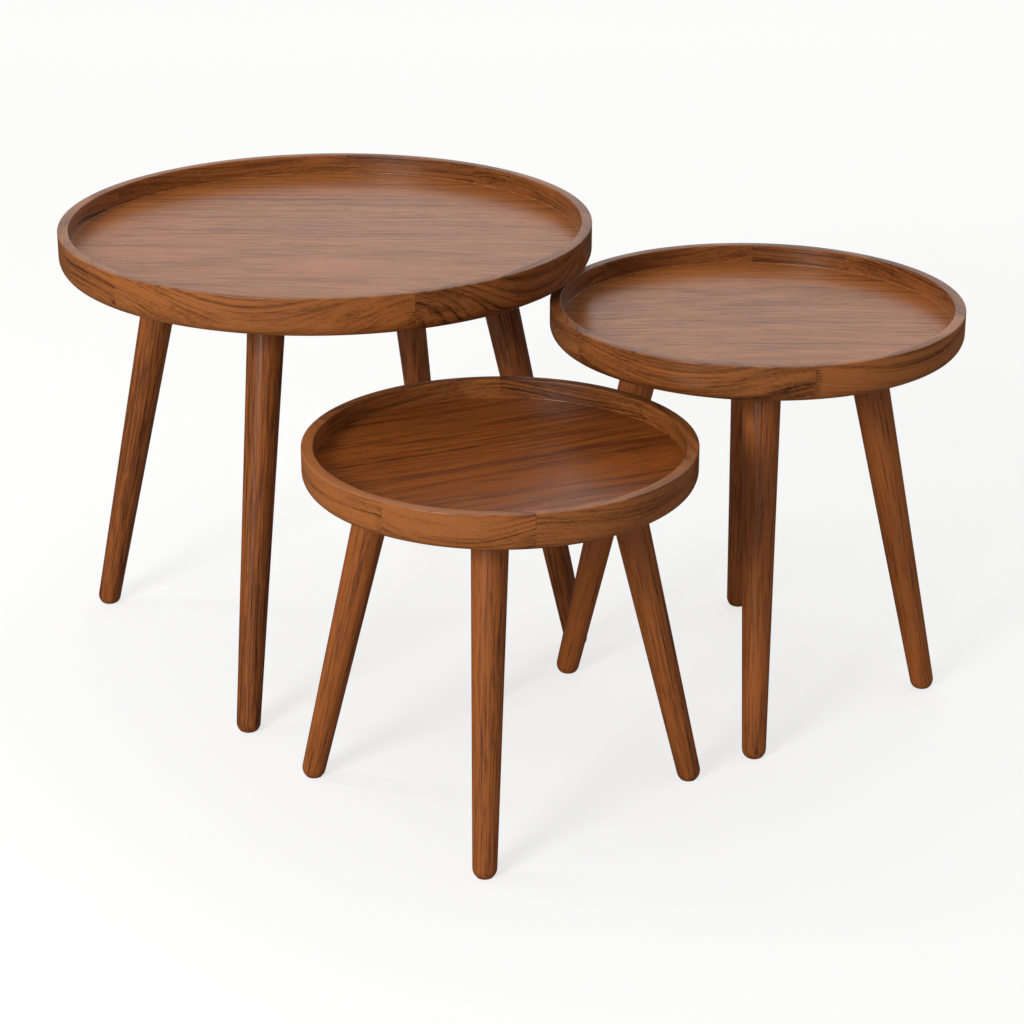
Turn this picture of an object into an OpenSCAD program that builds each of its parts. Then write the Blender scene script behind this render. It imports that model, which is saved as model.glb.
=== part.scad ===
// Set of three round tray-top nesting tables in walnut.
// Each table is a veneered panel in a rim of solid wood, on four splayed turned legs.
// The set stands with the medium and small tables half drawn out from under the large one.
// Angles in plan are counted from the front, -Y, turning towards +X.

/* [Large table] */
// Diameter of the large tray
large_d = 600; // [520:5:800]
// Height of the large table, floor to rim top
large_h = 502; // [430:1:700]
// Height of the large table's rim
large_rim_h = 44; // [38:1:60]
// Depth of the large tray, rim top to veneer
large_depth = 22; // [12:0.1:25]
// Distance from the large table's centre to the centre of each foot
large_foot_r = 290; // [230:1:390]
// Splay of the large table's legs from upright
large_splay = 12.5; // [8:0.1:15]
// Diameter of the large table's legs at their top
large_leg_d = 41.5; // [30:0.1:46]
// Diameter of the large table's legs at their rounded foot
large_foot_d = 26.5; // [23:0.5:30]
// Turn of the large table about its own centre
large_turn = -15.5; // [-25:0.5:0]

/* [Medium table] */
// Diameter of the medium tray
medium_d = 450; // [380:5:500]
// Distance from the medium table's centre to the centre of each foot
medium_foot_r = 202; // [180:1:245]
// Splay of the medium table's legs from upright
medium_splay = 12.1; // [8:0.1:15]
// Diameter of the medium table's legs at their top
medium_leg_d = 42; // [30:0.1:46]
// Diameter of the medium table's legs at their rounded foot
medium_foot_d = 26; // [23:0.5:30]
// Turn of the medium table about its own centre
medium_turn = -1.5; // [-10:0.5:10]
// Room left between the medium rim's top and the large rim's underside
medium_gap = 8; // [4:1:40]
// Height of the medium table's rim
medium_rim_h = 40; // [36:1:60]
// Depth of the medium tray, rim top to veneer
medium_depth = 21; // [12:0.1:25]

/* [Small table] */
// Diameter of the small tray
small_d = 400; // [320:5:440]
// Distance from the small table's centre to the centre of each foot
small_foot_r = 199; // [150:1:215]
// Splay of the small table's legs from upright
small_splay = 13; // [8:0.1:15]
// Diameter of the small table's legs at their top
small_leg_d = 38; // [30:0.1:46]
// Diameter of the small table's legs at their rounded foot
small_foot_d = 25; // [23:0.5:30]
// Turn of the small table about its own centre
small_turn = 0; // [-10:0.5:10]
// Room left between the small rim's top and the medium rim's underside
small_gap = 25; // [4:1:60]
// Height of the small table's rim
small_rim_h = 40; // [36:1:60]
// Depth of the small tray, rim top to veneer
small_depth = 21; // [12:0.1:25]

/* [How the set stands] */
// Direction from the large table's centre to the medium one's
medium_bearing = 73.6; // [68:0.1:80]
// How far the medium tray reaches in under the large tray
medium_tuck = 29; // [0:1:45]
// Direction from the large table's centre to the small one's
small_bearing = 26.2; // [20:0.1:32]
// How far the small tray reaches in under the large tray
small_tuck = 52; // [0:1:90]

/* [Tray rim] */
// Thickness of the rim's wall above the panel
rim_wall = 12; // [9:0.5:18]
// Width of the ledge that carries the panel, inwards from the wall
rim_ledge = 6; // [4:0.5:12]
// Radius of the rounding along the rim's outer bottom edge
rim_round = 15; // [6:0.5:15]
// Radius of the break on the rim's top edges
rim_break = 1.5; // [0.5:0.1:3]

/* [Panel] */
// Thickness of the panel's core
core_t = 12; // [10:0.1:15]
// Thickness of the veneer on each face of the core
veneer_t = 0.6; // [0.4:0.1:1.5]
// Clearance between the panel's edge and the rim's wall
panel_gap = 0.25; // [0.1:0.05:1]

/* [Feet] */
// Thickness of the glide under each foot
glide_t = 1; // [0.5:0.5:3]
// Diameter of the glide
glide_d = 17; // [8:0.5:18]
// Height of the foot's round centre above the floor
foot_centre_z = 9.5; // [8:0.5:11]

/* [Leg hardware] */
// Side of the square leg plate
plate_w = 60; // [54:1:80]
// Thickness of the leg plate's flange
plate_t = 2.5; // [2:0.5:4]
// Corner radius of the leg plate
plate_corner = 6; // [3:0.5:10]
// Thinnest part of the slanted seat under the flange
seat_min = 0.6; // [0.4:0.1:2]
// Diameter of the hanger bolt
bolt_d = 8; // [6:1:10]
// Length of the hanger bolt inside the leg
bolt_in = 36; // [25:1:50]
// Room left at the blind end of the hanger bolt's hole
bolt_room = 4; // [2:0.5:8]
// Diameter of the plate screws
screw_d = 4; // [3:0.5:5]
// Diameter of the plate screws' heads
screw_head_d = 7.6; // [6:0.2:9]
// Height of the plate screws' heads
screw_head_h = 2; // [1.5:0.1:3]
// Length of the plate screws, under the head
screw_len = 12; // [8:0.5:14]
// Distance from the plate's edge to the middle of a screw
screw_inset = 7; // [6:0.5:9]
// Diameter of the glide's nail
nail_d = 2; // [1.5:0.1:3]
// Length of the glide's nail above the glide
nail_len = 12; // [8:0.5:20]

/* [Hidden] */
$fn = 64;

TABLES = ["large", "medium", "small"];
SEGMENTS = [1, 2, 3, 4, 5, 6];
SIDES = ["front", "right", "back", "left"];

// Glue joints of each rim's random-length segments, as angles from the table's front leg
RIM_JOINTS = [
    [37, 97, 161, 194, 257, 331],
    [12, 77, 147, 178, 230, 301],
    [10, 74, 128, 180, 251, 326]
];

// Each leg's direction from its table's centre, counted from the table's own turn
LEG_TURNS = [
    [-0.5, 94.5, 173, 271.5],
    [0, 83.5, 179, 268],
    [-4.3, 92.6, 184, 265.4]
];

WALNUT_TOP = [0.47, 0.27, 0.17];
WALNUT_RIM = [0.42, 0.20, 0.09];
WALNUT_LEG = [0.45, 0.21, 0.10];
CORE_BOARD = [0.72, 0.60, 0.44];
ZINC = [0.72, 0.73, 0.75];
FELT = [0.12, 0.10, 0.09];

// A hair by which cutting shapes pass the faces they cut
cut = 1;

// Heights: each smaller table clears the underside of the next one up
medium_h = large_h - large_rim_h - medium_gap;
small_h = medium_h - medium_rim_h - small_gap;

function index_of(t) = search([t], TABLES)[0];
function tray_r(t) = [large_d, medium_d, small_d][index_of(t)] / 2;
function top_z(t) = [large_h, medium_h, small_h][index_of(t)];
function rim_h(t) = [large_rim_h, medium_rim_h, small_rim_h][index_of(t)];
function depth(t) = [large_depth, medium_depth, small_depth][index_of(t)];
function foot_r(t) = [large_foot_r, medium_foot_r, small_foot_r][index_of(t)];
function turn(t) = [large_turn, medium_turn, small_turn][index_of(t)];
function splay(t) = [large_splay, medium_splay, small_splay][index_of(t)];
function leg_d(t) = [large_leg_d, medium_leg_d, small_leg_d][index_of(t)];
function foot_d(t) = [large_foot_d, medium_foot_d, small_foot_d][index_of(t)];
function leg_turn(t, side) = LEG_TURNS[index_of(t)][search([side], SIDES)[0]];

// A direction in plan, from the front towards the right
function towards(angle) = [sin(angle), -cos(angle)];

// The smaller tables' places, counted from the large table's centre
medium_reach = tray_r("large") + tray_r("medium") - medium_tuck;
small_reach = tray_r("large") + tray_r("small") - small_tuck;
PLACES = [
    [0, 0],
    medium_reach * towards(medium_bearing),
    small_reach * towards(small_bearing)
];

// How far a table reaches from its own centre in a direction: its tray, or a foot beyond it
function extent(t, angle) = max(
    tray_r(t),
    max([for (side = SIDES) foot_r(t) * cos(turn(t) + leg_turn(t, side) - angle)]) + foot_d(t) / 2
);
function side_of_set(angle) = max([
    for (i = [0:2]) PLACES[i] * towards(angle) + extent(TABLES[i], angle)
]);

// The set's own centre in plan is the origin
set_centre = [
    (side_of_set(90) - side_of_set(270)) / 2,
    (side_of_set(180) - side_of_set(0)) / 2
];

// Heights within one table
function panel_z(t) = top_z(t) - depth(t);
function core_z(t) = panel_z(t) - veneer_t - core_t;
function underside_z(t) = core_z(t) - veneer_t;
function seat_drop(t) = plate_t + seat_min + leg_d(t) / 2 * sin(splay(t));
function seat_z(t) = underside_z(t) - seat_drop(t);
function leg_len(t) = (seat_z(t) - foot_centre_z) / cos(splay(t));
function seat_r(t) = foot_r(t) - leg_len(t) * sin(splay(t));
function panel_r(t) = tray_r(t) - rim_wall - panel_gap;

// The bolt ends just short of the panel, inside the slanted seat
bolt_short = 0.3;
function bolt_out(t) = seat_drop(t) / cos(splay(t)) - bolt_d / 2 * tan(splay(t)) - bolt_short;
screw_step = plate_w / 2 - screw_inset;

// Moves what is drawn about a table's own centre to where the table stands
module in_place(t)
    translate(concat(PLACES[index_of(t)] - set_centre, 0))
        rotate([0, 0, turn(t)])
            children();

// Turns what is drawn at the front to one of a table's legs, or to all four
module at_leg(t, side)
    rotate([0, 0, leg_turn(t, side)])
        children();
module at_each_leg(t)
    for (side = SIDES)
        at_leg(t, side)
            children();

// Upright frame at a leg's seat, under the panel
module at_seat(t)
    translate([0, -seat_r(t), underside_z(t)])
        children();

// Slanted frame whose Z runs up a front leg's axis, from the foot's round centre
module along_leg(t)
    translate([0, -foot_r(t), foot_centre_z])
        rotate([-splay(t), 0, 0])
            children();

// Places the four screws of one leg plate
module at_plate_screws()
    for (x = [-1, 1], y = [-1, 1])
        translate([x * screw_step, y * screw_step, 0])
            children();

// A square corner less a quarter circle, to round off an edge
module corner_cut(r)
    difference() {
        translate([0, -cut])
            square([r + cut, r + cut]);
        circle(r = r);
    }

// Section of the rim: a wall, a ledge for the panel, a big rounding and two small ones
module rim_section(t) {
    r = tray_r(t);
    inner = r - rim_wall;
    difference() {
        translate([inner - rim_ledge, -rim_h(t)])
            square([rim_wall + rim_ledge, rim_h(t)]);
        translate([inner - rim_ledge - cut, underside_z(t) - top_z(t)])
            square([rim_ledge + cut, rim_h(t)]);
        translate([r - rim_round, rim_round - rim_h(t)])
            mirror([0, 1])
                corner_cut(rim_round);
        translate([r - rim_break, -rim_break])
            corner_cut(rim_break);
        translate([inner + rim_break, -rim_break])
            mirror([1, 0])
                corner_cut(rim_break);
    }
}

// One length of solid wood in the glued-up rim
module rim_segment(t, s)
    color(WALNUT_RIM)
        in_place(t)
            translate([0, 0, top_z(t)])
                rotate([0, 0, rim_from(t, s) - 90])
                    rotate_extrude(angle = rim_sweep(t, s), $fn = 128)
                        rim_section(t);

function rim_from(t, s) = RIM_JOINTS[index_of(t)][s - 1];
function rim_to(t, s) = s < len(SEGMENTS) ? RIM_JOINTS[index_of(t)][s] : RIM_JOINTS[index_of(t)][0] + 360;
function rim_sweep(t, s) = rim_to(t, s) - rim_from(t, s);

// Top veneer, the tray's floor
module top_veneer(t)
    color(WALNUT_TOP)
        in_place(t)
            translate([0, 0, panel_z(t) - veneer_t])
                cylinder(r = panel_r(t), h = veneer_t);

// Pilot holes for the plate screws, up through the backing veneer into the core
module pilot_holes(t)
    at_each_leg(t)
        at_seat(t)
            at_plate_screws()
                translate([0, 0, -cut])
                    cylinder(d = screw_d, h = screw_len - plate_t + cut);

// Core of the panel
module core(t)
    color(CORE_BOARD)
        in_place(t)
            difference() {
                translate([0, 0, core_z(t)])
                    cylinder(r = panel_r(t), h = core_t);
                pilot_holes(t);
            }

// Backing veneer, which keeps the panel flat
module backing_veneer(t)
    color(WALNUT_TOP)
        in_place(t)
            difference() {
                translate([0, 0, underside_z(t)])
                    cylinder(r = panel_r(t), h = veneer_t);
                pilot_holes(t);
            }

// Outline of a turned leg: a straight taper that ends in a half-round foot
module leg_outline(t) {
    polygon([[0, 0], [foot_d(t) / 2, 0], [leg_d(t) / 2, leg_len(t)], [0, leg_len(t)]]);
    intersection() {
        circle(d = foot_d(t));
        translate([0, -foot_d(t) / 2])
            square(foot_d(t) / 2);
    }
}

// Turned leg, cut level for its glide and bored for its bolt and nail
module leg(t, side)
    color(WALNUT_LEG)
        in_place(t)
            at_leg(t, side)
                difference() {
                    along_leg(t)
                        rotate_extrude()
                            leg_outline(t);
                    along_leg(t)
                        translate([0, 0, leg_len(t) - bolt_in - bolt_room])
                            cylinder(d = bolt_d, h = bolt_in + bolt_room + cut);
                    translate([-foot_d(t), -foot_r(t) - foot_d(t), -foot_d(t)])
                        cube([2 * foot_d(t), 2 * foot_d(t), foot_d(t) + glide_t]);
                    translate([0, -foot_r(t), 0])
                        cylinder(d = nail_d, h = glide_t + nail_len);
                }

// Flat outline of a leg plate, with round corners
module plate_outline() {
    flat = plate_w - 2 * plate_corner;
    square([plate_w, flat], center = true);
    square([flat, plate_w], center = true);
    for (x = [-1, 1], y = [-1, 1])
        translate([x * flat / 2, y * flat / 2])
            circle(r = plate_corner);
}

// Leg plate: a flange on the panel's underside and a boss whose face slants to the leg
module leg_plate(t, side)
    color(ZINC)
        in_place(t)
            at_leg(t, side)
                difference() {
                    union() {
                        at_seat(t)
                            translate([0, 0, -plate_t])
                                linear_extrude(plate_t)
                                    plate_outline();
                        intersection() {
                            along_leg(t)
                                translate([0, 0, leg_len(t)])
                                    cylinder(d = leg_d(t), h = 2 * seat_drop(t));
                            at_seat(t)
                                translate([-plate_w, -plate_w, -2 * seat_drop(t)])
                                    cube([2 * plate_w, 2 * plate_w, 2 * seat_drop(t)]);
                        }
                    }
                    along_leg(t)
                        translate([0, 0, leg_len(t) - cut])
                            cylinder(d = bolt_d, h = 3 * seat_drop(t));
                    at_seat(t)
                        at_plate_screws()
                            translate([0, 0, -plate_t - cut])
                                cylinder(d = screw_d, h = plate_t + 2 * cut);
                }

// Hanger bolts, half in the leg and half in the plate's threaded boss
module hanger_bolts(t)
    color(ZINC)
        in_place(t)
            at_each_leg(t)
                along_leg(t)
                    translate([0, 0, leg_len(t) - bolt_in])
                        cylinder(d = bolt_d, h = bolt_in + bolt_out(t));

// Pan-head wood screws that hold the leg plates
module plate_screws(t)
    color(ZINC)
        in_place(t)
            at_each_leg(t)
                at_seat(t)
                    at_plate_screws() {
                        translate([0, 0, -plate_t - screw_head_h])
                            cylinder(d = screw_head_d, h = screw_head_h);
                        translate([0, 0, -plate_t])
                            cylinder(d = screw_d, h = screw_len);
                    }

// Nail-on felt glides, flat on the floor
module glides(t)
    color(FELT)
        in_place(t)
            at_each_leg(t)
                translate([0, -foot_r(t), 0]) {
                    cylinder(d = glide_d, h = glide_t);
                    cylinder(d = nail_d, h = glide_t + nail_len);
                }

for (t = TABLES) {
    top_veneer(t);
    core(t);
    backing_veneer(t);
    for (s = SEGMENTS)
        rim_segment(t, s);
    for (side = SIDES) {
        leg(t, side);
        leg_plate(t, side);
    }
    hanger_bolts(t);
    plate_screws(t);
    glides(t);
}
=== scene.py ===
import math
import random

import bpy
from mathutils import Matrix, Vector


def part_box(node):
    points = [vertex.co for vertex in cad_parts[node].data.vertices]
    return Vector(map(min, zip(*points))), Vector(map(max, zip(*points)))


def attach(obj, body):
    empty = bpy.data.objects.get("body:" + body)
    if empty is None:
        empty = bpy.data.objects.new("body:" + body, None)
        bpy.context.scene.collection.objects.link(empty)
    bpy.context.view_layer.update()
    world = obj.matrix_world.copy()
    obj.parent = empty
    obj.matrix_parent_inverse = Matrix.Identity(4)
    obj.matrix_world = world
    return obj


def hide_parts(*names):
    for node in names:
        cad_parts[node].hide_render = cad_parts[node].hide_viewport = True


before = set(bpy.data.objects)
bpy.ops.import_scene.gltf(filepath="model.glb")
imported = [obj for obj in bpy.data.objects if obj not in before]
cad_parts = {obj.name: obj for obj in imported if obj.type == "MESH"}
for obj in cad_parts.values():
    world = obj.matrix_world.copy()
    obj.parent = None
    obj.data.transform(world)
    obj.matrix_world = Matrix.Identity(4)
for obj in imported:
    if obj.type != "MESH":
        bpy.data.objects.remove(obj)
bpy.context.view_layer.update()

TABLES = ("large", "medium", "small")
SIDES = ("front", "right", "back", "left")


# ---------------------------------------------------------------------------
# Camera: a long lens a little under three metres away, above the tray tops,
# looking down on the set.

camera_place = (0.0093, -2.7581, 1.321)
camera_down = math.radians(21.96)
camera_lens = 93.79

lens = bpy.data.cameras.new("camera")
lens.lens = camera_lens
lens.sensor_width = 36
camera = bpy.data.objects.new("camera", lens)
camera.location = camera_place
camera.rotation_euler = (math.pi / 2 - camera_down, 0, 0)
bpy.context.scene.collection.objects.link(camera)
bpy.context.scene.camera = camera
bpy.context.scene.view_settings.view_transform = "Standard"


# ---------------------------------------------------------------------------
# Room: a plain white floor that runs out to a white surround. The camera sees
# both near white, with faint shadows, while the tables are lit by a softer,
# greyer floor and by a studio that is brightest above and behind them.

floor_size = 30
floor_near = -1.2          # a line across the floor in front of the tables
floor_far = 3.5            # and one behind them
floor_seen_near = 0.69     # how much of the seen floor is plain white at the near line
floor_seen_far = 0.79      # and at the far one, where less light falls
floor_seen_shade = 0.30    # how much of it takes shadows
floor_lit = (0.60, 0.585, 0.57)
floor_mirrored = (0.10, 0.08, 0.07)
surround_seen = 0.99
studio_tint = (1, 0.985, 0.97)

# How bright the studio is by direction: where a change begins and ends, and the brightness at each
studio_behind = (-0.5, 0.6, 0.34, 0.92)
studio_above = (0.48, 0.85, 1.0, 1.45)
studio_left = (-0.24, -0.04, 0.72, 1.0)
studio_sides = (0.35, 0.85, 1.0, 0.46)


def add_node(tree, kind, *values, **properties):
    """Adds a node, sets its properties, fills its inputs in order and returns its first output."""
    node = tree.nodes.new(kind)
    for name, value in properties.items():
        setattr(node, name, value)
    for socket, value in zip(node.inputs, values):
        if isinstance(value, bpy.types.NodeSocket):
            tree.links.new(value, socket)
        elif value is not None:
            socket.default_value = value
    return node.outputs[0] if node.outputs else None


def maths(tree, operation, *values):
    return add_node(tree, "ShaderNodeMath", *values, operation=operation)


def vectors(tree, operation, *values):
    return add_node(tree, "ShaderNodeVectorMath", *values, operation=operation)


def split(tree, vector):
    """The X, Y and Z of a vector, by name."""
    node = tree.nodes.new("ShaderNodeSeparateXYZ")
    tree.links.new(vector, node.inputs[0])
    return node.outputs


def own_place(tree):
    """Where a point lies in its own piece, in metres."""
    return tree.nodes.new("ShaderNodeTexCoord").outputs["Object"]


floor_paint = bpy.data.materials.new("white_floor")
floor_paint.use_nodes = True
tree = floor_paint.node_tree
tree.nodes.clear()
away = split(tree, own_place(tree))["Y"]
brightness = add_node(tree, "ShaderNodeMapRange", away, floor_near, floor_far,
                      floor_seen_near, floor_seen_far)
glow = add_node(tree, "ShaderNodeEmission", (1, 1, 1, 1), brightness)
shade = add_node(tree, "ShaderNodeBsdfDiffuse", (floor_seen_shade,) * 3 + (1,))
seen = add_node(tree, "ShaderNodeAddShader", glow, shade)
grey = add_node(tree, "ShaderNodeBsdfDiffuse", floor_lit + (1,))
dim = add_node(tree, "ShaderNodeBsdfDiffuse", floor_mirrored + (1,))
ray = tree.nodes.new("ShaderNodeLightPath")
lighting = add_node(tree, "ShaderNodeMixShader", ray.outputs["Is Glossy Ray"], grey, dim)
floor_mix = add_node(tree, "ShaderNodeMixShader", ray.outputs["Is Camera Ray"], lighting, seen)
add_node(tree, "ShaderNodeOutputMaterial", floor_mix)

half = floor_size / 2
sheet = bpy.data.meshes.new("floor")
floor_corners = [(-half, -half, 0), (half, -half, 0), (half, half, 0), (-half, half, 0)]
sheet.from_pydata(floor_corners, [], [(0, 1, 2, 3)])
sheet.materials.append(floor_paint)
floor = bpy.data.objects.new("floor", sheet)
bpy.context.scene.collection.objects.link(floor)

world = bpy.data.worlds.new("studio")
world.use_nodes = True
bpy.context.scene.world = world
tree = world.node_tree
tree.nodes.clear()
direction = split(tree, add_node(tree, "ShaderNodeTexCoord"))
behind = add_node(tree, "ShaderNodeMapRange", direction["Y"], *studio_behind)
above = add_node(tree, "ShaderNodeMapRange", direction["Z"], *studio_above)
left = add_node(tree, "ShaderNodeMapRange", direction["X"], *studio_left)
sides = add_node(tree, "ShaderNodeMapRange", maths(tree, "ABSOLUTE", direction["X"]), *studio_sides)
sky = maths(tree, "MULTIPLY", maths(tree, "MULTIPLY", behind, above), maths(tree, "MULTIPLY", left, sides))
lit = add_node(tree, "ShaderNodeBackground", studio_tint + (1,), sky)
plain = add_node(tree, "ShaderNodeBackground", (1, 1, 1, 1), surround_seen)
by_camera = add_node(tree, "ShaderNodeLightPath")
sky_mix = add_node(tree, "ShaderNodeMixShader", by_camera, lit, plain)
add_node(tree, "ShaderNodeOutputWorld", sky_mix)


def softbox(name, place, aim, size, power):
    """A soft light, so wide and so high, that looks from its place towards a point."""
    light = bpy.data.lights.new(name, "AREA")
    light.shape = "RECTANGLE"
    light.size, light.size_y = size
    light.energy = power
    lamp = bpy.data.objects.new(name, light)
    lamp.location = place
    lamp.rotation_euler = (Vector(aim) - Vector(place)).to_track_quat("-Z", "Y").to_euler()
    bpy.context.scene.collection.objects.link(lamp)


softbox("key_light", place=(-2.0, -2.9, 1.9), aim=(0, 0, 0.3), size=(1.2, 1.2), power=98)
softbox("left_strip", place=(-1.7, 0.3, 2.2), aim=(0, 0, 0.4), size=(0.25, 1.6), power=7)


# ---------------------------------------------------------------------------
# Where each table stands, read from the frame: its middle in plan, the radius
# of its veneer, and its rim's outer radius, top and bottom.

def rim_nodes(table):
    return [f"{table}_rim_{i}" for i in range(1, 7)]


centre = {}
rim_top = {}
rim_bottom = {}
rim_radius = {}
veneer_radius = {}
for table in TABLES:
    low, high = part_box(f"{table}_top_veneer")
    centre[table] = Vector(((low.x + high.x) / 2, (low.y + high.y) / 2, 0))
    veneer_radius[table] = (high.x - low.x) / 2
    corners = [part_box(node) for node in rim_nodes(table)]
    rim_top[table] = max(high.z for low, high in corners)
    rim_bottom[table] = min(low.z for low, high in corners)
    rim_radius[table] = (max(high.x for low, high in corners) - min(low.x for low, high in corners)) / 2


# ---------------------------------------------------------------------------
# Legs: solid walnut, turned to a straight taper with a round foot that is cut
# level for its glide. Each is cut from its own blank, so each has its own grain.

leg_splay = {"large": 12.5, "medium": 12.1, "small": 13.0}
leg_top_radius = {"large": 0.02075, "medium": 0.021, "small": 0.019}
leg_foot_radius = {"large": 0.01325, "medium": 0.013, "small": 0.0125}
leg_tone = {"large": -0.05, "medium": 0.15, "small": 0.11}
leg_foot_centre = 0.0095
leg_level_cut = 0.001
level_slack = 0.0002           # how far over the cut a point still counts as on it
leg_edge = 0.0012
leg_sides = 72
leg_steps = 24                 # up the taper, and round the foot
edge_steps = 5                 # over any small rounded edge
log_length = 9                 # metres of log that the blanks are cut along
leg_from_pith = (0.03, 0.09)
leg_off_pith = (-0.02, 0.02)
leg_tone_spread = 0.05


def make_group(name, kind, takes, gives):
    """An empty node group with named inputs and outputs."""
    group = bpy.data.node_groups.new(name, kind)
    for label, socket, default in takes:
        made = group.interface.new_socket(label, in_out="INPUT", socket_type="NodeSocket" + socket)
        if default is not None:
            made.default_value = default
    for label, socket in gives:
        group.interface.new_socket(label, in_out="OUTPUT", socket_type="NodeSocket" + socket)
    return group, group.nodes.new("NodeGroupInput").outputs, group.nodes.new("NodeGroupOutput").inputs


def put_group(tree, group, **values):
    """Places a node group in a tree, with its inputs by name, and returns its outputs."""
    kind = "ShaderNodeGroup" if group.bl_idname == "ShaderNodeTree" else "GeometryNodeGroup"
    node = tree.nodes.new(kind)
    node.node_tree = group
    for name, value in values.items():
        socket = node.inputs[name.replace("_", " ").title()]
        if isinstance(value, bpy.types.NodeSocket):
            tree.links.new(value, socket)
        else:
            socket.default_value = value
    return node.outputs


# Turning: spins a section, drawn with X outwards and Y down, round the Z axis
weld = 1e-6              # metres within which two points become one
sharp_corner = 0.6       # radians past which an edge is shaded as a corner
turning, takes, gives = make_group("turn_on_z", "GeometryNodeTree", [
    ("Section", "Geometry", None), ("Start", "Float", 0.0), ("Sweep", "Float", 2 * math.pi),
    ("Steps", "Int", 64), ("Capped", "Bool", False)],
    [("Solid", "Geometry"), ("Share", "Float")])
profile = add_node(turning, "GeometryNodeMeshToCurve", takes["Section"])
path = add_node(turning, "GeometryNodeCurvePrimitiveLine", (0, 0, 0), (0, 1, 0))
points = maths(turning, "ADD", takes["Steps"], 1)
resample = turning.nodes.new("GeometryNodeResampleCurve")
turning.links.new(path, resample.inputs["Curve"])
turning.links.new(points, resample.inputs["Count"])
path = add_node(turning, "GeometryNodeSetCurveNormal", resample.outputs[0], mode="Z_UP")
swept = add_node(turning, "GeometryNodeCurveToMesh", path, profile, None, takes["Capped"])
straight = split(turning, add_node(turning, "GeometryNodeInputPosition"))
share = turning.nodes.new("GeometryNodeCaptureAttribute")
share.capture_items.new("FLOAT", "share")
turning.links.new(swept, share.inputs[0])
turning.links.new(straight["Y"], share.inputs[1])
angle = maths(turning, "MULTIPLY_ADD", straight["Y"], takes["Sweep"], takes["Start"])
round_x = maths(turning, "MULTIPLY", straight["X"], maths(turning, "COSINE", angle))
round_y = maths(turning, "MULTIPLY", straight["X"], maths(turning, "SINE", angle))
bent = add_node(turning, "ShaderNodeCombineXYZ", round_x, round_y, straight["Z"])
bent = add_node(turning, "GeometryNodeSetPosition", share.outputs[0], None, bent)
solid = turning.nodes.new("GeometryNodeMergeByDistance")
solid.inputs["Distance"].default_value = weld
turning.links.new(bent, solid.inputs[0])
turning.links.new(solid.outputs[0], gives["Solid"])
turning.links.new(share.outputs[1], gives["Share"])


def section_object(name, outline, closed=False):
    """An object whose mesh is an outline of (radius, height) points, for the turning group."""
    mesh = bpy.data.meshes.new(name)
    count = len(outline)
    edges = [(i, (i + 1) % count) for i in range(count if closed else count - 1)]
    mesh.from_pydata([(radius, -height, 0) for radius, height in outline], edges, [])
    piece = bpy.data.objects.new(name, mesh)
    bpy.context.scene.collection.objects.link(piece)
    return piece


def shape_with(piece, group, **values):
    """Runs a geometry group on an object, with its inputs by name, and keeps the result as its mesh."""
    modifier = piece.modifiers.new(group.name, "NODES")
    modifier.node_group = group
    sockets = {item.name: item.identifier for item in group.interface.items_tree if item.in_out == "INPUT"}
    for name, value in values.items():
        modifier[sockets[name.replace("_", " ").title()]] = value
    bpy.context.view_layer.update()
    result = piece.evaluated_get(bpy.context.evaluated_depsgraph_get())
    mesh = bpy.data.meshes.new_from_object(result)
    piece.modifiers.clear()
    old = piece.data
    piece.data = mesh
    bpy.data.meshes.remove(old)
    mesh.name = piece.name


def keep_on_points(tree, geometry, name, value, kind="FLOAT_VECTOR"):
    """Stores a field on the points under a name that a material can read."""
    node = tree.nodes.new("GeometryNodeStoreNamedAttribute")
    node.data_type = kind
    node.domain = "POINT"
    tree.links.new(geometry, node.inputs["Geometry"])
    node.inputs["Name"].default_value = name
    tree.links.new(value, node.inputs["Value"])
    return node.outputs[0]


def finish_tree(tree, geometry, material, gives):
    """Shades a shape smooth, gives it its material and puts it out."""
    smooth = add_node(tree, "GeometryNodeSetShadeSmooth", geometry)
    corner = maths(tree, "GREATER_THAN", add_node(tree, "GeometryNodeInputMeshEdgeAngle"), sharp_corner)
    smooth = add_node(tree, "GeometryNodeSetShadeSmooth", smooth, corner, False, domain="EDGE")
    dressed = tree.nodes.new("GeometryNodeSetMaterial")
    tree.links.new(smooth, dressed.inputs["Geometry"])
    tree.links.new(material, dressed.inputs["Material"])
    tree.links.new(dressed.outputs[0], gives["Piece"])


# Walnut's figure: growth rings about the tree's pith, wandering along the
# board, with darker streaks, fine fibres and short open pores. Board is a place
# in the log, in metres: X along the grain, Y and Z from the pith.
ripple = 0.0026              # how far a quick ripple moves the grain
turn_step = 0.012            # metres of streak pattern for each radian round the pith
season_drift = 3.0           # how unevenly the rings are spaced, in rings
late_wood = (0.45, 0.94)     # where in a ring the dark late wood comes up, and where it ends
band_share = 0.28            # how much of the streaks is in broad bands
streak_gain = 3.2
heartwood = 0.22             # how dark the wood is between its rings and streaks
pore_shade = 0.40
figure, takes, gives = make_group("walnut_figure", "ShaderNodeTree", [
    ("Board", "Vector", None), ("Ring Width", "Float", 0.005), ("Wander", "Float", 0.012),
    ("Ring Depth", "Float", 0.6), ("Streaks", "Float", 0.5), ("Fibres", "Float", 0.8), ("Tone", "Float", 0.0),
    ("Light", "Color", (0.3, 0.12, 0.045, 1)), ("Dark", "Color", (0.08, 0.025, 0.008, 1))],
    [("Color", "Color"), ("Roughness", "Float"), ("Height", "Float")])


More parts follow.
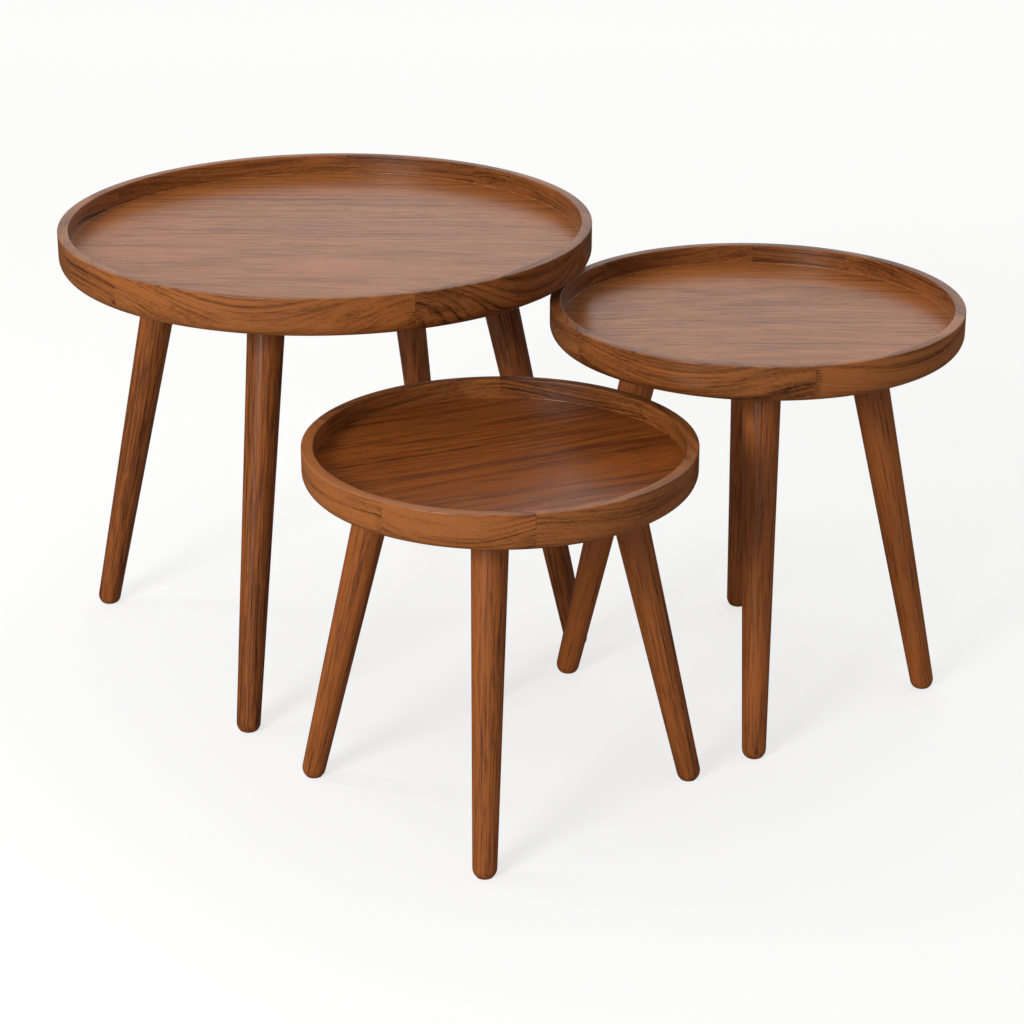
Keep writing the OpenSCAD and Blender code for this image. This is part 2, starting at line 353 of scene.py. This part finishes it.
def grain_noise(tree, vector, along, across, detail=2.0, roughness=0.5):
    """Noise drawn out along the grain: cycles in a metre along it and across it."""
    stretched = vectors(tree, "MULTIPLY", vector, (along, across, across))
    node = tree.nodes.new("ShaderNodeTexNoise")
    tree.links.new(stretched, node.inputs["Vector"])
    node.inputs["Scale"].default_value = 1.0
    node.inputs["Detail"].default_value = detail
    node.inputs["Roughness"].default_value = roughness
    return node.outputs


def span(tree, value, low, high, to_low=0.0, to_high=1.0, smooth=True):
    """Maps a value from one span to another, clamped."""
    kind = "SMOOTHSTEP" if smooth else "LINEAR"
    return add_node(tree, "ShaderNodeMapRange", value, low, high, to_low, to_high, interpolation_type=kind)


# The grain sways slowly and ripples quickly, both only across the board
board = takes["Board"]
across_board = (0, 1, 1)
middle_grey = (0.5, 0.5, 0.5)
sway = vectors(figure, "SUBTRACT", grain_noise(figure, board, 1.8, 8.0, 1.0)["Color"], middle_grey)
swayed = figure.nodes.new("ShaderNodeVectorMath")
swayed.operation = "SCALE"
figure.links.new(vectors(figure, "MULTIPLY", sway, across_board), swayed.inputs[0])
figure.links.new(takes["Wander"], swayed.inputs["Scale"])
rippled = vectors(figure, "SUBTRACT", grain_noise(figure, board, 9.0, 30.0, 2.0)["Color"], middle_grey)
rippled = vectors(figure, "MULTIPLY", rippled, (0, ripple, ripple))
wandered = vectors(figure, "ADD", vectors(figure, "ADD", board, swayed.outputs[0]), rippled)

# The same place, told by how far along, how far out and how far round the pith it is
parts = split(figure, wandered)
length_node = figure.nodes.new("ShaderNodeVectorMath")
length_node.operation = "LENGTH"
figure.links.new(vectors(figure, "MULTIPLY", wandered, across_board), length_node.inputs[0])
outward = length_node.outputs["Value"]
around = maths(figure, "MULTIPLY", maths(figure, "ARCTAN2", parts["Z"], parts["Y"]), turn_step)
in_rings = add_node(figure, "ShaderNodeCombineXYZ", parts["X"], outward, around)

# Growth rings of uneven width, each with late wood that differs by the year and fades in places
rings = maths(figure, "DIVIDE", outward, takes["Ring Width"])
seasons = figure.nodes.new("ShaderNodeTexNoise")
seasons.noise_dimensions = "1D"
seasons.inputs["Scale"].default_value = 0.45
seasons.inputs["Detail"].default_value = 1.0
figure.links.new(rings, seasons.inputs["W"])
rings = maths(figure, "MULTIPLY_ADD", seasons.outputs[0], season_drift, rings)
season = maths(figure, "FRACT", rings)
late_ends = span(figure, season, late_wood[1], 1.0, 1.0, 0.0)
late = maths(figure, "MULTIPLY", span(figure, season, *late_wood), late_ends)
year = figure.nodes.new("ShaderNodeTexWhiteNoise")
year.noise_dimensions = "1D"
figure.links.new(maths(figure, "FLOOR", rings), year.inputs["W"])
late = maths(figure, "MULTIPLY", late, span(figure, year.outputs["Value"], 0.0, 1.0, 0.15, 1.1, False))
fading = grain_noise(figure, in_rings, 4.0, 40.0, 1.0)["Fac"]
late = maths(figure, "MULTIPLY", late, span(figure, fading, 0.30, 0.60, 0.35, 1.0))

# Broad bands and fine streaks that follow the rings, then fibres and pores
band = maths(figure, "MULTIPLY", grain_noise(figure, in_rings, 2.5, 55.0, 1.0)["Fac"], band_share)
streak = grain_noise(figure, in_rings, 4.5, 190.0, 3.0, 0.72)["Fac"]
streak = maths(figure, "MULTIPLY_ADD", streak, 1 - band_share, band)
streak = maths(figure, "MULTIPLY", maths(figure, "SUBTRACT", streak, 0.5), streak_gain)
fibre = grain_noise(figure, wandered, 15.0, 520.0, 3.0, 0.7)["Fac"]
pore = span(figure, grain_noise(figure, wandered, 60.0, 1300.0, 1.0)["Fac"], 0.58, 0.70)
pore = maths(figure, "MULTIPLY", pore, span(figure, season, 0.0, 0.6, 1.0, 0.35, False))

# All of it together darkens the wood from its light colour to its dark one
darkness = maths(figure, "MULTIPLY", late, takes["Ring Depth"])
darkness = maths(figure, "MULTIPLY_ADD", streak, takes["Streaks"], darkness)
darkness = maths(figure, "MULTIPLY_ADD", maths(figure, "SUBTRACT", fibre, 0.5), takes["Fibres"], darkness)
darkness = maths(figure, "SUBTRACT", maths(figure, "ADD", darkness, heartwood), takes["Tone"])
clamped = figure.nodes.new("ShaderNodeClamp")
figure.links.new(darkness, clamped.inputs[0])
colour = figure.nodes.new("ShaderNodeMix")
colour.data_type = "RGBA"
figure.links.new(clamped.outputs[0], colour.inputs["Factor"])
figure.links.new(takes["Light"], colour.inputs["A"])
figure.links.new(takes["Dark"], colour.inputs["B"])
lifted = figure.nodes.new("ShaderNodeHueSaturation")
brightness = maths(figure, "MULTIPLY_ADD", maths(figure, "MAXIMUM", takes["Tone"], 0.0), 0.6, 1.0)
brightness = maths(figure, "MULTIPLY_ADD", pore, -pore_shade, brightness)
figure.links.new(brightness, lifted.inputs["Value"])
figure.links.new(colour.outputs["Result"], lifted.inputs["Color"])
figure.links.new(lifted.outputs[0], gives["Color"])
figure.links.new(maths(figure, "MULTIPLY", clamped.outputs[0], 0.08), gives["Roughness"])
raised_fibre = maths(figure, "MULTIPLY", fibre, 0.25)
figure.links.new(maths(figure, "SUBTRACT", raised_fibre, pore), gives["Height"])


def stored(tree, name, output):
    """A value stored on a piece's points, as a Fac or a Vector."""
    node = tree.nodes.new("ShaderNodeAttribute")
    node.attribute_name = name
    return node.outputs[output]


def relief(tree, surface, height, strength, depth=0.0002):
    """Raises and sinks a surface finely by a height."""
    bump = tree.nodes.new("ShaderNodeBump")
    bump.inputs["Strength"].default_value = strength
    bump.inputs["Distance"].default_value = depth
    tree.links.new(height, bump.inputs["Height"])
    tree.links.new(bump.outputs[0], surface.inputs["Normal"])


def walnut(name, rings, wander, depth, streaks, fibres, light, dark, roughness, shine):
    """A walnut that reads a piece's place in the log from its board attribute."""
    material = bpy.data.materials.new(name)
    material.use_nodes = True
    tree = material.node_tree
    wood = put_group(tree, figure, board=stored(tree, "board", "Vector"), tone=stored(tree, "tone", "Fac"),
                     ring_width=rings, wander=wander, ring_depth=depth, streaks=streaks, fibres=fibres,
                     light=light + (1,), dark=dark + (1,))
    surface = tree.nodes["Principled BSDF"]
    tree.links.new(wood["Color"], surface.inputs["Base Color"])
    tree.links.new(maths(tree, "ADD", wood["Roughness"], roughness), surface.inputs["Roughness"])
    surface.inputs["Specular IOR Level"].default_value = shine
    relief(tree, surface, wood["Height"], 0.3)
    return material


leg_walnut = walnut("leg_walnut", rings=0.0045, wander=0.006, depth=0.30, streaks=0.55, fibres=3.3,
                    light=(0.325, 0.095, 0.019), dark=(0.045, 0.010, 0.002), roughness=0.30, shine=0.45)

# Turns a leg's outline, stands it at its place and cuts its foot level
leg_tree, takes, gives = make_group("turned_leg", "GeometryNodeTree", [
    ("Section", "Geometry", None), ("Sides", "Int", 64), ("Foot", "Vector", None),
    ("Lean", "Float", 0.0), ("Bearing", "Float", 0.0), ("Level Cut", "Float", 0.0),
    ("Log Place", "Vector", None), ("Blank Turn", "Float", 0.0), ("Tone", "Float", 0.0),
    ("Finish", "Material", None)], [("Piece", "Geometry")])
blank = put_group(leg_tree, turning, section=takes["Section"], steps=takes["Sides"])["Solid"]
spot = add_node(leg_tree, "GeometryNodeInputPosition")
spun = add_node(leg_tree, "ShaderNodeVectorRotate", spot, (0, 0, 0), (0, 0, 1), takes["Blank Turn"])
spun = split(leg_tree, spun)
in_log = add_node(leg_tree, "ShaderNodeCombineXYZ", spun["Z"], spun["X"], spun["Y"])
in_log = vectors(leg_tree, "ADD", in_log, takes["Log Place"])
blank = keep_on_points(leg_tree, blank, "board", in_log)
blank = keep_on_points(leg_tree, blank, "tone", takes["Tone"], "FLOAT")
spot = add_node(leg_tree, "GeometryNodeInputPosition")
leaning = add_node(leg_tree, "ShaderNodeVectorRotate", spot, (0, 0, 0), (1, 0, 0), takes["Lean"])
turned = add_node(leg_tree, "ShaderNodeVectorRotate", leaning, (0, 0, 0), (0, 0, 1), takes["Bearing"])
standing = vectors(leg_tree, "ADD", turned, takes["Foot"])
floor_level = add_node(leg_tree, "ShaderNodeCombineXYZ", -10.0, -10.0, takes["Level Cut"])
standing = vectors(leg_tree, "MAXIMUM", standing, floor_level)
blank = add_node(leg_tree, "GeometryNodeSetPosition", blank, None, standing)
finish_tree(leg_tree, blank, takes["Finish"], gives)


def arc(centre_x, centre_y, radius, start, end, count):
    """Points along an arc, angles in degrees from the X axis."""
    steps = [math.radians(start + (end - start) * i / count) for i in range(count + 1)]
    return [(centre_x + radius * math.cos(a), centre_y + radius * math.sin(a)) for a in steps]


def leg_outline(foot_radius, top_radius, length):
    """From the middle of the foot, up the taper, over the top edge to the middle of the top."""
    foot = arc(0, 0, foot_radius, -90, 0, leg_steps)
    foot[0] = (0, -foot_radius)
    rise = [i / leg_steps for i in range(1, leg_steps)]
    taper = [(foot_radius + (top_radius - foot_radius) * t, length * t) for t in rise]
    top = arc(top_radius - leg_edge, length - leg_edge, leg_edge, 0, 90, edge_steps)
    inner = [(top_radius * share, length) for share in (0.8, 0.5, 0)]
    return foot + taper + top + inner


random.seed(7)
for table in TABLES:
    for side in SIDES:
        node = f"{table}_leg_{side}"
        low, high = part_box(node)
        ring = [v.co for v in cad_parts[node].data.vertices if v.co.z < leg_level_cut + level_slack]
        foot = Vector((
            (min(p.x for p in ring) + max(p.x for p in ring)) / 2,
            (min(p.y for p in ring) + max(p.y for p in ring)) / 2,
            leg_foot_centre))
        outwards = foot - centre[table]
        bearing = math.atan2(outwards.x, -outwards.y)
        splay = math.radians(leg_splay[table])
        seat = high.z - leg_top_radius[table] * math.sin(splay)
        length = (seat - leg_foot_centre) / math.cos(splay)
        outline = leg_outline(leg_foot_radius[table], leg_top_radius[table], length)
        leg = section_object(f"walnut_{node}", outline)
        from_pith = random.uniform(*leg_from_pith)
        log_place = (random.uniform(0, log_length), from_pith, random.uniform(*leg_off_pith))
        shape_with(leg, leg_tree, sides=leg_sides, foot=foot, lean=-splay, bearing=bearing,
                   level_cut=leg_level_cut, log_place=log_place, blank_turn=random.uniform(0, math.tau),
                   tone=leg_tone[table] + random.uniform(-leg_tone_spread, leg_tone_spread),
                   finish=leg_walnut)
        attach(leg, f"{table}_table")
        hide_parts(node)


# ---------------------------------------------------------------------------
# Rims: lengths of solid walnut, finger-jointed end to end and then turned to a
# ring. Each length comes from its own board, so the grain runs straight through
# it while the ring curves, and the figure changes at every glue joint.

rim_wall = 0.012
rim_ledge = 0.006
rim_round = 0.015
rim_break = 0.0015
rim_round_steps = 18
rim_least_steps = 8                   # a length has a step for each degree, and at least these
finger_pitch = 0.0031
finger_reach = {"large": -0.009, "medium": 0.008, "small": -0.008}
finger_start = {"large": 0.020, "medium": 0.003, "small": 0.015}     # below the rim's top
finger_end = 0.036
glue_width = 0.0004
glue_width_in_fingers = 0.0014
glue_shade = 0.45
next_board = (0.37, 0.019, 0.008)     # how far off in the log the wood between the fingers is

# Finger joints, seen as a zigzag glue line with the next length's wood between the fingers. Joint is
# the distance to the nearest end, the depth below the rim's top and which end it is, -1 or 1.
fingers, takes, gives = make_group("finger_joint", "ShaderNodeTree", [
    ("Joint", "Vector", None), ("Pitch", "Float", 0.004), ("Reach", "Float", 0.008),
    ("Start", "Float", 0.01), ("End", "Float", 0.03)],
    [("Beyond", "Float"), ("Glue", "Float")])
joint = split(fingers, takes["Joint"])
half_pitch = maths(fingers, "DIVIDE", takes["Pitch"], 2.0)
tooth = maths(fingers, "DIVIDE", maths(fingers, "PINGPONG", joint["Y"], half_pitch), half_pitch)
above_end = maths(fingers, "LESS_THAN", joint["Y"], takes["End"])
cut_here = maths(fingers, "MULTIPLY", maths(fingers, "GREATER_THAN", joint["Y"], takes["Start"]), above_end)
line = maths(fingers, "MULTIPLY", maths(fingers, "MULTIPLY", tooth, cut_here), takes["Reach"])
across = maths(fingers, "MULTIPLY", joint["X"], joint["Z"])
past = maths(fingers, "MULTIPLY", maths(fingers, "SUBTRACT", across, line), joint["Z"])
fingers.links.new(maths(fingers, "LESS_THAN", past, 0.0), gives["Beyond"])
line_width = maths(fingers, "MULTIPLY_ADD", cut_here, glue_width_in_fingers - glue_width, glue_width)
glue = maths(fingers, "SUBTRACT", 1.0, maths(fingers, "DIVIDE", maths(fingers, "ABSOLUTE", past), line_width))
fingers.links.new(maths(fingers, "MAXIMUM", glue, 0.0), gives["Glue"])


def with_joints(material, table):
    """Puts the finger joints into a rim's walnut."""
    tree = material.node_tree
    wood = next(node for node in tree.nodes if node.type == "GROUP")
    fitted = put_group(tree, fingers, joint=stored(tree, "joint", "Vector"), pitch=finger_pitch,
                       reach=finger_reach[table], start=finger_start[table], end=finger_end)
    board = wood.inputs["Board"].links[0].from_socket
    tone = wood.inputs["Tone"].links[0].from_socket
    board = vectors(tree, "MULTIPLY_ADD", fitted["Beyond"], next_board, board)
    tree.links.new(board, wood.inputs["Board"])
    step = maths(tree, "SUBTRACT", stored(tree, "tone_beyond", "Fac"), tone)
    toned = maths(tree, "MULTIPLY_ADD", step, fitted["Beyond"], tone)
    toned = maths(tree, "MULTIPLY_ADD", fitted["Glue"], -glue_shade, toned)
    tree.links.new(toned, wood.inputs["Tone"])


rim_tree, takes, gives = make_group("rim_length", "GeometryNodeTree", [
    ("Section", "Geometry", None), ("Start", "Float", 0.0), ("Sweep", "Float", 1.0), ("Steps", "Int", 60),
    ("Radius", "Float", 0.3), ("Top Of Ring", "Vector", None), ("Log Place", "Vector", None),
    ("Grain Slope", "Float", 0.0), ("Tone", "Float", 0.0), ("Tone Before", "Float", 0.0),
    ("Tone After", "Float", 0.0), ("Finish", "Material", None)], [("Piece", "Geometry")])
swept = put_group(rim_tree, turning, section=takes["Section"], start=takes["Start"], sweep=takes["Sweep"],
                  steps=takes["Steps"], capped=True)
middle = maths(rim_tree, "MULTIPLY_ADD", takes["Sweep"], 0.5, takes["Start"])
squared = add_node(rim_tree, "ShaderNodeVectorRotate", add_node(rim_tree, "GeometryNodeInputPosition"),
                   (0, 0, 0), (0, 0, 1), maths(rim_tree, "MULTIPLY", middle, -1.0))
squared = split(rim_tree, squared)
outward = maths(rim_tree, "SUBTRACT", squared["X"], takes["Radius"])
in_log = add_node(rim_tree, "ShaderNodeCombineXYZ", squared["Y"], squared["Z"], outward)
in_log = add_node(rim_tree, "ShaderNodeVectorRotate", in_log, (0, 0, 0), (0, 0, 1), takes["Grain Slope"])
in_log = vectors(rim_tree, "ADD", in_log, takes["Log Place"])
length = keep_on_points(rim_tree, swept["Solid"], "board", in_log)
run = maths(rim_tree, "MULTIPLY", takes["Sweep"], takes["Radius"])
along = maths(rim_tree, "MULTIPLY", swept["Share"], run)
to_end = maths(rim_tree, "MINIMUM", along, maths(rim_tree, "SUBTRACT", run, along))
far = maths(rim_tree, "GREATER_THAN", swept["Share"], 0.5)
side = maths(rim_tree, "MULTIPLY_ADD", far, -2.0, 1.0)
depth = maths(rim_tree, "MULTIPLY", squared["Z"], -1.0)
joint = add_node(rim_tree, "ShaderNodeCombineXYZ", to_end, depth, side)
length = keep_on_points(rim_tree, length, "joint", joint)
length = keep_on_points(rim_tree, length, "tone", takes["Tone"], "FLOAT")
change = maths(rim_tree, "SUBTRACT", takes["Tone After"], takes["Tone Before"])
next_tone = maths(rim_tree, "MULTIPLY_ADD", change, far, takes["Tone Before"])
length = keep_on_points(rim_tree, length, "tone_beyond", next_tone, "FLOAT")
raised = vectors(rim_tree, "ADD", add_node(rim_tree, "GeometryNodeInputPosition"), takes["Top Of Ring"])
length = add_node(rim_tree, "GeometryNodeSetPosition", length, None, raised)
finish_tree(rim_tree, length, takes["Finish"], gives)


def rim_outline(radius, height, underside):
    """The rim's section, clockwise, with heights counted down from its top edge."""
    inner = radius - rim_wall
    ledge = inner - rim_ledge
    top_in = arc(inner + rim_break, -rim_break, rim_break, 180, 90, edge_steps)
    top_out = arc(radius - rim_break, -rim_break, rim_break, 90, 0, edge_steps)
    under = arc(radius - rim_round, -height + rim_round, rim_round, 0, -90, rim_round_steps)
    return [(ledge, -height), (ledge, -underside), (inner, -underside)] + top_in + top_out + under


# What each length was sawn from: its height over the pith and its depth outside it, the slope of
# its grain in degrees, and how light it is
boards = {
    "large_rim_1": (0.045, 0.050, 5.0, -0.08), "large_rim_2": (0.060, 0.030, -2.0, -0.06),
    "large_rim_3": (0.100, 0.020, 1.0, -0.14), "large_rim_4": (0.070, 0.050, -3.0, -0.02),
    "large_rim_5": (0.140, 0.020, -2.0, 0.10), "large_rim_6": (0.062, 0.060, -1.0, 0.14),
    "medium_rim_1": (0.130, 0.050, 1.5, 0.20), "medium_rim_2": (0.070, 0.050, 2.0, -0.04),
    "medium_rim_3": (0.100, 0.030, -1.0, -0.14), "medium_rim_4": (0.060, 0.050, 3.0, 0.00),
    "medium_rim_5": (0.080, 0.050, 1.0, -0.04), "medium_rim_6": (0.075, 0.045, -2.0, -0.10),
    "small_rim_1": (0.110, 0.030, 2.0, 0.06), "small_rim_2": (0.070, 0.040, 1.0, 0.00),
    "small_rim_3": (0.080, 0.050, -1.5, -0.08), "small_rim_4": (0.060, 0.040, 2.0, -0.02),
    "small_rim_5": (0.110, 0.035, 1.0, 0.16), "small_rim_6": (0.075, 0.050, -2.0, 0.13),
}


def ends_of(node, table):
    """Where a length starts and how far it runs round its table's middle, from its CAD solid."""
    flat = [v.co - centre[table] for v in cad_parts[node].data.vertices]
    middle = sum((Vector((p.x, p.y, 0)) for p in flat), Vector()).normalized()
    middle_angle = math.atan2(middle.y, middle.x)
    turned = [math.remainder(math.atan2(p.y, p.x) - middle_angle, math.tau) for p in flat]
    return middle_angle + min(turned), max(turned) - min(turned)


random.seed(11)
for table in TABLES:
    finish = walnut(f"{table}_rim_walnut", rings=0.0052, wander=0.010, depth=0.70, streaks=0.95, fibres=1.2,
                    light=(0.315, 0.103, 0.025), dark=(0.048, 0.011, 0.0022), roughness=0.28, shine=0.3)
    with_joints(finish, table)
    underside = rim_top[table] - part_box(f"{table}_backing_veneer")[0].z
    outline = rim_outline(rim_radius[table], rim_top[table] - rim_bottom[table], underside)
    top = centre[table] + Vector((0, 0, rim_top[table]))
    nodes = rim_nodes(table)
    for i, node in enumerate(nodes):
        start, sweep = ends_of(node, table)
        above, outside, slope, tone = boards[node]
        tone_before = boards[nodes[i - 1]][-1]
        tone_after = boards[nodes[(i + 1) % len(nodes)]][-1]
        length = section_object(f"walnut_{node}", outline, closed=True)
        shape_with(length, rim_tree, start=start, sweep=sweep,
                   steps=max(rim_least_steps, round(math.degrees(sweep))), radius=rim_radius[table],
                   top_of_ring=top, grain_slope=math.radians(slope),
                   log_place=(random.uniform(0, log_length), above, outside), tone=tone,
                   tone_before=tone_before, tone_after=tone_after, finish=finish)
        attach(length, f"{table}_table")
        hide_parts(node)


# ---------------------------------------------------------------------------
# Tray floors: walnut veneer, lacquered after glueing, so the lacquer climbs the
# rim's wall a little and leaves a fine bright line round the tray.

lacquer_climb = 0.0008
veneer_sides = 180
veneer_slicing = (0.9, 0.5, 0.5)     # sliced nearly along the rings, which spreads them across the sheet
veneer_looks = {
    "large": dict(turn=-3, tilt=1.2, place=(0.3, 0.050, 0.055), rings=0.0058, wander=0.024, streaks=0.65,
                  light=(0.395, 0.132, 0.032), dark=(0.130, 0.035, 0.007)),
    "medium": dict(turn=-1, tilt=-1.4, place=(2.1, -0.030, 0.060), rings=0.0052, wander=0.020, streaks=0.65,
                   light=(0.405, 0.136, 0.033), dark=(0.125, 0.034, 0.007)),
    # The small tray's light and dark colours are darker than the other trays' walnut: painted shade, for the
    # shade and the dim reflection of the large table's underside that fall on it
    "small": dict(turn=24, tilt=1.6, place=(4.4, 0.030, 0.034), rings=0.0060, wander=0.036, streaks=0.95,
                  light=(0.260, 0.070, 0.012), dark=(0.055, 0.011, 0.002)),
}

veneer_tree, takes, gives = make_group("tray_veneer", "GeometryNodeTree", [
    ("Section", "Geometry", None), ("Middle", "Vector", None), ("Grain Turn", "Float", 0.0),
    ("Grain Tilt", "Float", 0.0), ("Slicing", "Vector", None), ("Log Place", "Vector", None),
    ("Finish", "Material", None)], [("Piece", "Geometry")])
sheet_of_veneer = put_group(veneer_tree, turning, section=takes["Section"], steps=veneer_sides)["Solid"]
spot = add_node(veneer_tree, "GeometryNodeInputPosition")
laid = add_node(veneer_tree, "ShaderNodeVectorRotate", spot, (0, 0, 0), (0, 0, 1), takes["Grain Turn"])
laid = add_node(veneer_tree, "ShaderNodeVectorRotate", laid, (0, 0, 0), (0, 1, 0), takes["Grain Tilt"])
in_log = vectors(veneer_tree, "MULTIPLY_ADD", laid, takes["Slicing"], takes["Log Place"])
sheet_of_veneer = keep_on_points(veneer_tree, sheet_of_veneer, "board", in_log)
raised = vectors(veneer_tree, "ADD", add_node(veneer_tree, "GeometryNodeInputPosition"), takes["Middle"])
sheet_of_veneer = add_node(veneer_tree, "GeometryNodeSetPosition", sheet_of_veneer, None, raised)
finish_tree(veneer_tree, sheet_of_veneer, takes["Finish"], gives)

for table in TABLES:
    node = f"{table}_top_veneer"
    low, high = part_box(node)
    edge = rim_radius[table] - rim_wall
    looks = veneer_looks[table]
    thick = high.z - low.z
    climb = arc(edge - lacquer_climb, lacquer_climb, lacquer_climb, -90, 0, edge_steps)
    floor_line = [(edge * part, 0) for part in (0, 0.4, 0.7, 0.9, 0.985)]
    glued = veneer_radius[table]
    under = [(edge, -thick / 4), (glued, -thick / 2), (glued, -thick), (0, -thick)]
    outline = floor_line + climb + under
    veneer = section_object(f"walnut_{node}", outline)
    finish = walnut(f"{table}_veneer_walnut", rings=looks["rings"], wander=looks["wander"], depth=0.38,
                    streaks=looks["streaks"], fibres=2.2, light=looks["light"], dark=looks["dark"],
                    roughness=0.24, shine=0.34)
    shape_with(veneer, veneer_tree, middle=centre[table] + Vector((0, 0, high.z)),
               grain_turn=math.radians(-looks["turn"]), grain_tilt=math.radians(looks["tilt"]),
               slicing=veneer_slicing, log_place=looks["place"], finish=finish)
    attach(veneer, f"{table}_table")
    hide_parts(node)


# ---------------------------------------------------------------------------
# Core and backing: a fibreboard core, cut to a disc, with a plainer walnut
# veneer under it that balances the tray floor. Both show only from below.

fine_share = 0.7             # how much of a speckle is fine; the rest is coarse
uneven_gloss = 0.06


def speckled(name, first, second, grain, roughness, metallic=0.0, dents=0.2):
    """A fine-grained material that varies between two colours, so many grains in a metre."""
    material = bpy.data.materials.new(name)
    material.use_nodes = True
    tree = material.node_tree
    place = own_place(tree)
    coarse = grain_noise(tree, place, grain / 6, grain / 6, 2.0)["Fac"]
    fine = grain_noise(tree, place, grain, grain, 2.0, 0.6)["Fac"]
    mixture = maths(tree, "MULTIPLY", coarse, 1 - fine_share)
    mixture = maths(tree, "MULTIPLY_ADD", fine, fine_share, mixture)
    colour = tree.nodes.new("ShaderNodeMix")
    colour.data_type = "RGBA"
    tree.links.new(span(tree, mixture, 0.35, 0.65), colour.inputs["Factor"])
    colour.inputs["A"].default_value = first + (1,)
    colour.inputs["B"].default_value = second + (1,)
    surface = tree.nodes["Principled BSDF"]
    tree.links.new(colour.outputs["Result"], surface.inputs["Base Color"])
    rough = span(tree, coarse, 0.3, 0.7, roughness - uneven_gloss, roughness + uneven_gloss)
    tree.links.new(rough, surface.inputs["Roughness"])
    surface.inputs["Metallic"].default_value = metallic
    relief(tree, surface, fine, dents)
    return material


def dress(node, material):
    """Gives a CAD piece its material."""
    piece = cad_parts[node]
    piece.data.materials.clear()
    piece.data.materials.append(material)


backing_log_place = (7.0, 0.02, -0.36)
backing_roughness = 0.48

core_board = speckled("fibreboard", (0.40, 0.27, 0.15), (0.54, 0.39, 0.24), grain=1400, roughness=0.85,
                      dents=0.4)
backing = bpy.data.materials.new("backing_walnut")
backing.use_nodes = True
tree = backing.node_tree
in_log = vectors(tree, "ADD", own_place(tree), backing_log_place)
wood = put_group(tree, figure, board=in_log, ring_width=0.009, wander=0.04, ring_depth=0.4, streaks=0.6,
                 fibres=1.6, light=(0.30, 0.110, 0.034, 1), dark=(0.09, 0.026, 0.006, 1))
surface = tree.nodes["Principled BSDF"]
tree.links.new(wood["Color"], surface.inputs["Base Color"])
tree.links.new(maths(tree, "ADD", wood["Roughness"], backing_roughness), surface.inputs["Roughness"])
for table in TABLES:
    dress(f"{table}_core", core_board)
    dress(f"{table}_backing_veneer", backing)


# ---------------------------------------------------------------------------
# Leg hardware: pressed steel plates at the legs' slant, four countersunk screws
# in each, and a hanger bolt up through it from each leg, all zinc plated.

plate_zinc = speckled("plate_zinc", (0.50, 0.51, 0.54), (0.64, 0.64, 0.66), grain=500, roughness=0.36,
                      metallic=1.0, dents=0.1)
screw_zinc = speckled("screw_zinc", (0.55, 0.56, 0.58), (0.68, 0.69, 0.71), grain=900, roughness=0.30,
                      metallic=1.0, dents=0.1)
for table in TABLES:
    dress(f"{table}_hanger_bolts", screw_zinc)
    dress(f"{table}_plate_screws", screw_zinc)
    for side in SIDES:
        dress(f"{table}_leg_plate_{side}", plate_zinc)


# ---------------------------------------------------------------------------
# Glides: thin discs of pressed felt under the feet, each held by a nail up
# into the end grain, so that a table slides without marking the floor. Their
# near-black is partly the felt's own colour and partly painted shade, for the
# dark contact line under each foot.

# Near-black felt: partly the felt's own colour, partly painted shade for the contact line under each foot
glide_felt_and_shade = speckled("glide_felt_and_shade", (0.016, 0.013, 0.011), (0.034, 0.030, 0.026), grain=1200, roughness=0.92,
                      dents=0.5)
for table in TABLES:
    dress(f"{table}_glides", glide_felt_and_shade)
